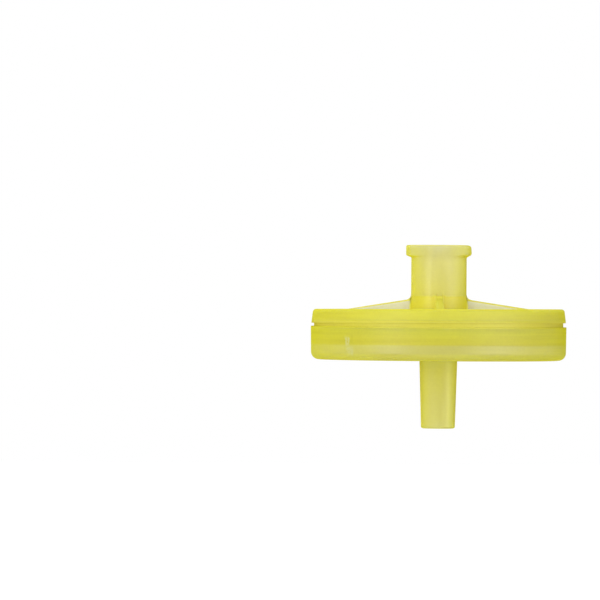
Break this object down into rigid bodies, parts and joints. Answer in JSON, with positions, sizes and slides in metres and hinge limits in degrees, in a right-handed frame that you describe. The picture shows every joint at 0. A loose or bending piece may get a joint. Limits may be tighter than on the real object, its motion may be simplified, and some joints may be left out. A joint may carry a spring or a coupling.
{
  "type": "syringe filter",
  "caption": "Disposable syringe filter: flat round housing with a lugged Luer lock socket above, a tapered Luer slip tip below and a membrane clamped inside.",
  "frame": {"origin": "centre of the inlet's mouth: on the filter's axis, in the plane of the hub's top face", "axes": "+Z along the filter's axis, out of the inlet's mouth towards the syringe; +X through one of the two locking lugs; the outlet tip points to -Z"},
  "size_m": [0.03, 0.03, 0.0215],
  "materials": {
    "housing_plastic": "translucent yellow, satin as moulded",
    "membrane_sheet": "matt white, finely porous"
  },
  "bodies": {
    "root": {"inlet_housing": "housing_plastic", "membrane": "membrane_sheet", "outlet_housing": "housing_plastic"}
  },
  "joints": []
}
